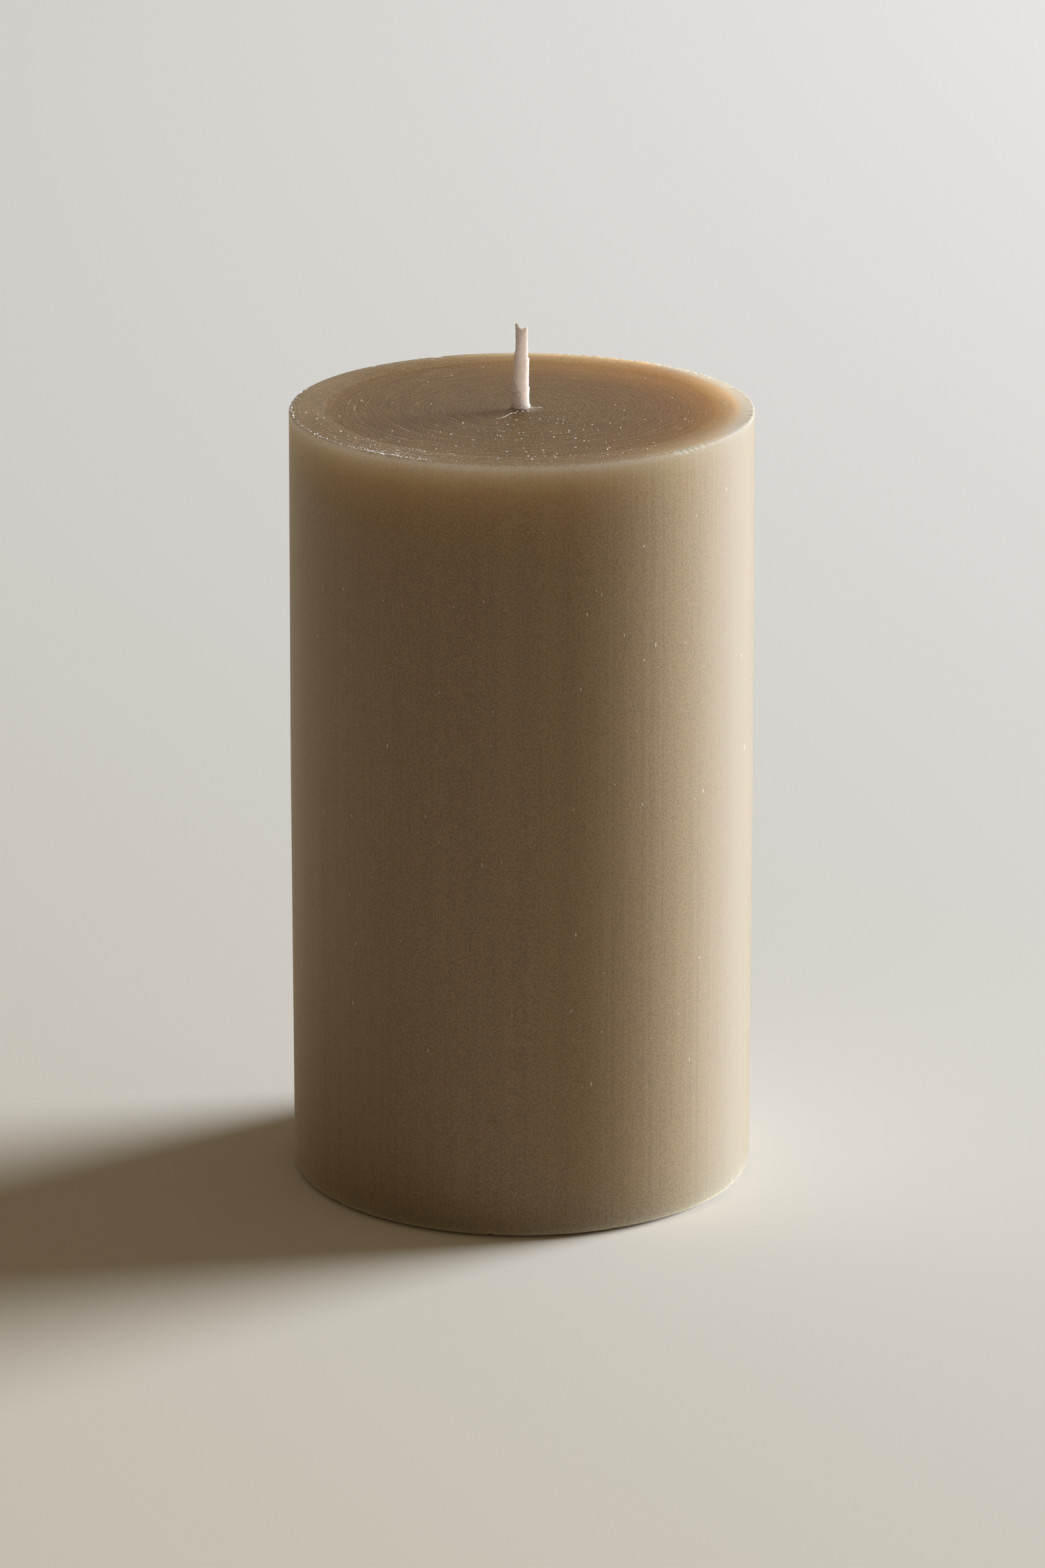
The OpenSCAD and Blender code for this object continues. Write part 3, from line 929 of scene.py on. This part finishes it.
# %% The recipe of the wax
# Broken wax is pale, and this colour also paints the map's highlights.
WAX_BROKEN_AND_HIGHLIGHT = "#d9c9ae"
# The grey of the painted highlight on the lit right.
PAINTED_HIGHLIGHT_GREY = "#868079"
BROKEN_AND_HIGHLIGHT_SHARE = 0.85
# Noise seldom leaves this range, so the range is spread over the whole tint.
NOISE_LOW, NOISE_HIGH = 0.4, 0.6
GRAIN_MM = 0.3
GRAIN_RELIEF = 0.4
RELIEF_MM = 0.010
GLOW_RADIUS = (6.3, 3.5, 1.9)
# Glow radii where the painted highlight is full: a cream painted glow.
PAINTED_HIGHLIGHT_GLOW_RADIUS = (5.0, 3.8, 2.7)
# The share of the glow left where painted shade is full.
PAINTED_SHADE_GLOW = 0.16
GLOW_ENTRY_IOR = 3.8


def wax_finish(name, pattern, grain_share, dark, light, roughness, **gloss):
    """A wax material: dark and light tint the pattern, and gloss sets constants on the shader."""
    material, tree, place = new_material(name)
    # The map of wear and painted light: pale breaks and painted highlights above zero, painted shade below.
    worn = add_node(tree, "ShaderNodeAttribute", attribute_name="worn").outputs["Fac"]
    # The painted highlight on the lit right greys the wax there.
    painted_highlight = add_node(tree, "ShaderNodeAttribute", attribute_name="painted_highlight").outputs["Fac"]
    marks = pattern(tree, place)
    grain = noise(tree, place, GRAIN_MM)

    tint = add_node(tree, "ShaderNodeMix", {"Factor": grain_share, 2: marks, 3: grain}).outputs[0]
    colour = blend(tree, spread(tree, tint, NOISE_LOW, NOISE_HIGH), linear(dark), linear(light))
    colour = blend(tree, painted_highlight, colour, linear(PAINTED_HIGHLIGHT_GREY))
    colour = blend(tree, maths(tree, "MULTIPLY", worn, BROKEN_AND_HIGHLIGHT_SHARE), colour, linear(WAX_BROKEN_AND_HIGHLIGHT))

    # Where the painted highlight is full the glow turns cream, which paints highlight too.
    full_painted_highlight = spread(tree, painted_highlight, PAINTED_HIGHLIGHT_SIDE_SHARE, 1.0)
    glow_radius = add_node(tree, "ShaderNodeMix", {
        "Factor": full_painted_highlight, 4: GLOW_RADIUS, 5: PAINTED_HIGHLIGHT_GLOW_RADIUS}, data_type="VECTOR").outputs[1]
    # Below zero the map shortens the glow: painted shade.
    glow_scale = spread(tree, worn, 0.0, -1.0, MM, PAINTED_SHADE_GLOW * MM)
    raised = maths(tree, "ADD", marks, maths(tree, "MULTIPLY", grain, GRAIN_RELIEF))

    inputs = {"Base Color": colour, "Roughness": roughness, "IOR": 1.44,
              "Normal": relief(tree, raised, RELIEF_MM),
              "Subsurface Weight": 1.0, "Subsurface Radius": glow_radius, "Subsurface Scale": glow_scale,
              "Subsurface IOR": GLOW_ENTRY_IOR}
    inputs.update({socket.replace("_", " "): value for socket, value in gloss.items()})
    shade(tree, inputs, subsurface_method="RANDOM_WALK_SKIN")
    return material


# The second figure is the glow under full painted shade.
print("red light travels", GLOW_RADIUS[0], "mm in plain wax and",
      round(GLOW_RADIUS[0] * PAINTED_SHADE_GLOW, 1), "mm in dense wax")

# %% The two wax finishes
wax.data.materials.append(wax_finish(
    "drawn_paraffin_wax", drawn_streaks, grain_share=0.7, dark="#7d6a51", light="#947e60",
    roughness=0.62, Sheen_Weight=0.72, Sheen_Roughness=0.53, Sheen_Tint=(1.0, 0.92, 0.75, 1.0),
    Specular_IOR_Level=0.1))
wax.data.materials.append(wax_finish(
    "turned_paraffin_wax", tool_rings, grain_share=0.66, dark="#665034", light="#9b7b51",
    roughness=0.5, Specular_IOR_Level=0.1))

# A face is turned if the rings on both sides of it belong to the turned top.
turned = top_map[:, 0] >= 1
turned_rows = turned & np.roll(turned, -1)
wax.data.polygons.foreach_set("material_index", np.repeat(turned_rows, COLUMNS).astype(np.int32))
print("turned faces:", int(turned_rows.sum()) * COLUMNS)

# %% [markdown]
# ## Broken wax
#
# Crumbs are the same wax, but so small and so cracked that they look almost white. Light travels at most
# half a millimetre in them. Their tone changes from one crumb to the next.

# %% Crumbs of broken wax
CRUMB_DARK = "#cdbb9b"
CRUMB_LIGHT = "#fbf2de"
CRUMB_TONE_MM = 0.8

crumb_material, tree, place = new_material("broken_wax_crumbs")
crumb_tone = blend(tree, noise(tree, place, CRUMB_TONE_MM), linear(CRUMB_DARK), linear(CRUMB_LIGHT))
shade(tree, {
    "Base Color": crumb_tone, "Roughness": 0.5, "IOR": 1.44,
    "Subsurface Weight": 1.0, "Subsurface Radius": (0.5, 0.4, 0.3), "Subsurface Scale": MM,
}, subsurface_method="RANDOM_WALK_SKIN")
crumbs.data.materials.append(crumb_material)
print("crumb tones from", CRUMB_DARK, "to", CRUMB_LIGHT)

# %% [markdown]
# ## Primed cotton
#
# Bleached cotton yarn, braided and dipped once in wax, so it is pale with a slight shine and lets a
# little light through. Light that crosses so thin a wick unscattered brightens it, so the colours here
# are darker than the cotton's own. The last millimetres are tan where the dip ran off. The lower half
# carries the candle's own wax in speckled patches, more of it near the foot and on the left. The glow is
# deeper where the wick is waxed, at the foot, than at the tip. Fibres are about 0.02 mm thick, which is
# too fine to show, so they are drawn 0.08 mm wide.

# %% Colours of the wick
COTTON = "#6c6259"
COTTON_TAN = "#6e533b"
COAT_DARK = "#a8957f"
COAT_LIGHT = "#e2d5c0"
FIBRE_MM = 0.08
PATCH_MM = 0.6
SPECK_MM = 0.2
# The tan starts and is full at these distances below the tip, in mm.
TAN_FROM, TAN_FULL = 6.0, 1.6
# The coat starts and is full at these heights above the wax, and at these distances to the right, in mm.
COAT_FROM, COAT_FULL = 5.5, 0.5
COAT_RIGHT, COAT_LEFT = 0.4, -0.9

wick_material, tree, place = new_material("waxed_cotton_braid")
across, _, height = add_node(tree, "ShaderNodeSeparateXYZ", {0: place}).outputs

tan_share = spread(tree, height, (WICK_TOP - TAN_FROM) * MM, (WICK_TOP - TAN_FULL) * MM)
colour = blend(tree, tan_share, linear(COTTON), linear(COTTON_TAN))
low_down = spread(tree, height, (FLOOR_Z + COAT_FROM) * MM, (FLOOR_Z + COAT_FULL) * MM, -0.4, 0.45)
on_left = spread(tree, across, COAT_RIGHT * MM, COAT_LEFT * MM, -0.3, 0.2)
patches = noise(tree, place, PATCH_MM, detail=3.0)
coat_share = maths(tree, "ADD", maths(tree, "ADD", low_down, on_left), patches, use_clamp=True)
coat_specks = spread(tree, noise(tree, place, SPECK_MM), 0.4, 0.65)
coat_colour = blend(tree, coat_specks, linear(COAT_DARK), linear(COAT_LIGHT))
colour = blend(tree, spread(tree, coat_share, 0.45, 0.8), colour, coat_colour)
print("cotton is", [round(v, 3) for v in linear(COTTON)[:3]], "in linear light")

# %% The wick's shader
FOOT_GLOW, TIP_GLOW = 1.2, 0.45
FIBRE_SQUEEZE = 0.15
FIBRE_RELIEF_MM = 0.05

fibres = noise(tree, squeezed(tree, place, (1, 1, FIBRE_SQUEEZE)), FIBRE_MM)
glow_scale = spread(tree, height, FLOOR_Z * MM, WICK_TOP * MM, FOOT_GLOW * MM, TIP_GLOW * MM)
shade(tree, {
    "Base Color": colour, "Roughness": 0.55, "IOR": 1.45, "Normal": relief(tree, fibres, FIBRE_RELIEF_MM),
    "Subsurface Weight": 1.0, "Subsurface Radius": (1.5, 1.15, 0.95), "Subsurface Scale": glow_scale,
    "Specular IOR Level": 0.15,
}, subsurface_method="RANDOM_WALK_SKIN")
wick.data.materials.append(wick_material)
print("fibres", FIBRE_MM, "mm wide on the wick")

# %% [markdown]
# ## Tinplate
#
# The sustainer is stamped from tinned sheet: bright, a little dull from handling, with fine scratches.
# It shows only when the candle is lifted, and its solid already has the right shape, so it keeps its
# mesh and gets a better finish.

# %% The sustainer's material
TIN = "#cfcdc6"
SCRATCH_MM = 0.15
SCRATCH_SQUEEZE = 0.05
SCRATCH_RELIEF_MM = 0.01
BRIGHT, DULL = 0.22, 0.5

tin_material, tree, place = new_material("stamped_tinplate")
scratches = noise(tree, squeezed(tree, place, (1, SCRATCH_SQUEEZE, 1)), SCRATCH_MM, detail=3.0)
shade(tree, {
    "Base Color": linear(TIN), "Metallic": 1.0,
    "Roughness": spread(tree, scratches, 0.0, 1.0, BRIGHT, DULL),
    "Normal": relief(tree, scratches, SCRATCH_RELIEF_MM, strength=0.25)})

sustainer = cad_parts["wick_sustainer"]
for slot in sustainer.material_slots:
    slot.material = tin_material
print("sustainer slots:", len(sustainer.material_slots))

# %% [markdown]
# ## The floor
#
# A plain pale sweep of matt paper, whose tone runs from cream at the front left to neutral at the back
# right. That change of tone is painted light: cooler light at the back right is painted into the paper.
# A wide plane is enough, because the camera looks down and never sees past it. It is a real surface, so
# it keeps the candle's shadow and throws light back up at the candle's shaded side.

# %% Lay the floor
FLOOR_HALF = 6.0
# The change of tone is painted light, cream at the front left and cooler at the back right.
FLOOR_FRONT = "#f1ede0"
FLOOR_BACK = "#f4f3f2"
# The tone changes along this direction, from the first distance to the second, in metres.
TONE_ALONG = (1.3, 1, 0)
TONE_FROM, TONE_TO = -0.28, 0.32

floor_mesh = bpy.data.meshes.new("floor")
corners = [(-FLOOR_HALF, -FLOOR_HALF, 0), (FLOOR_HALF, -FLOOR_HALF, 0),
           (FLOOR_HALF, FLOOR_HALF, 0), (-FLOOR_HALF, FLOOR_HALF, 0)]
floor_mesh.from_pydata(corners, [], [(0, 1, 2, 3)])
floor_sheet = bpy.data.objects.new("floor", floor_mesh)
bpy.context.collection.objects.link(floor_sheet)

floor_material, tree, place = new_material("matt_paper")
distance = add_node(
    tree, "ShaderNodeVectorMath", {0: place, 1: TONE_ALONG}, operation="DOT_PRODUCT").outputs["Value"]
tone_share = spread(tree, distance, TONE_FROM, TONE_TO, interpolation_type="SMOOTHSTEP")
shade(tree, {
    "Base Color": blend(tree, tone_share, linear(FLOOR_FRONT), linear(FLOOR_BACK)),
    "Roughness": 0.9, "Specular IOR Level": 0.1})
floor_mesh.materials.append(floor_material)
print("floor", 2 * FLOOR_HALF, "m wide")

# %% [markdown]
# ## The light
#
# One soft oval light, low on the right and about 24 degrees behind the candle, makes the bright right
# edge, the long shadow and the glow at the rim. How quickly the shadow's edges fade tells how wide the
# light is: about 31 degrees, seen from the candle. It stands over three metres away, so the floor is lit
# evenly. The rest of the room is dim and warm. The camera and the gloss see a pale room instead, so that
# the background stays light in every view.

# %% The key light
KEY_BEHIND = math.radians(23.6)
KEY_ABOVE = math.radians(12.8)
KEY_HALF_WIDTH = math.radians(15.5)
KEY_HALF_HEIGHT = math.radians(8)
KEY_DISTANCE = 3.4
KEY_COLOUR = (0.93, 0.975, 1.0)
KEY_WATTS = 282
AIM_Z = 0.06

key_data = bpy.data.lights.new("key", "AREA")
key_data.shape = "ELLIPSE"
key_data.size = 2 * KEY_DISTANCE * math.tan(KEY_HALF_WIDTH)
key_data.size_y = 2 * KEY_DISTANCE * math.tan(KEY_HALF_HEIGHT)
key_data.energy = KEY_WATTS
key_data.color = KEY_COLOUR
key = bpy.data.objects.new("key", key_data)
key.location = (KEY_DISTANCE * math.cos(KEY_ABOVE) * math.cos(KEY_BEHIND),
                KEY_DISTANCE * math.cos(KEY_ABOVE) * math.sin(KEY_BEHIND),
                AIM_Z + KEY_DISTANCE * math.sin(KEY_ABOVE))
key.rotation_euler = (math.pi / 2 - KEY_ABOVE, 0, KEY_BEHIND + math.pi / 2)
key.visible_camera = False
bpy.context.collection.objects.link(key)
print("key light at", [round(v, 2) for v in key.location])

# %% The room
ROOM_FILL = (0.150, 0.110, 0.066)
BACKDROP = "#dcdad6"

world = bpy.data.worlds.new("room")
world.use_nodes = True
tree = world.node_tree
tree.nodes.clear()
rays = add_node(tree, "ShaderNodeLightPath").outputs
seen = maths(tree, "MAXIMUM", rays["Is Camera Ray"], rays["Is Glossy Ray"])
seen = maths(tree, "MAXIMUM", seen, rays["Is Transmission Ray"])
dim = add_node(tree, "ShaderNodeBackground", {"Color": (*ROOM_FILL, 1), "Strength": 1.0}).outputs[0]
pale = add_node(tree, "ShaderNodeBackground", {"Color": linear(BACKDROP), "Strength": 1.0}).outputs[0]
mixed = add_node(tree, "ShaderNodeMixShader", {0: seen, 1: dim, 2: pale}).outputs[0]
add_node(tree, "ShaderNodeOutputWorld", {0: mixed})
bpy.context.scene.world = world
bpy.context.scene.view_settings.view_transform = "Standard"
print("the room's own light:", ROOM_FILL)
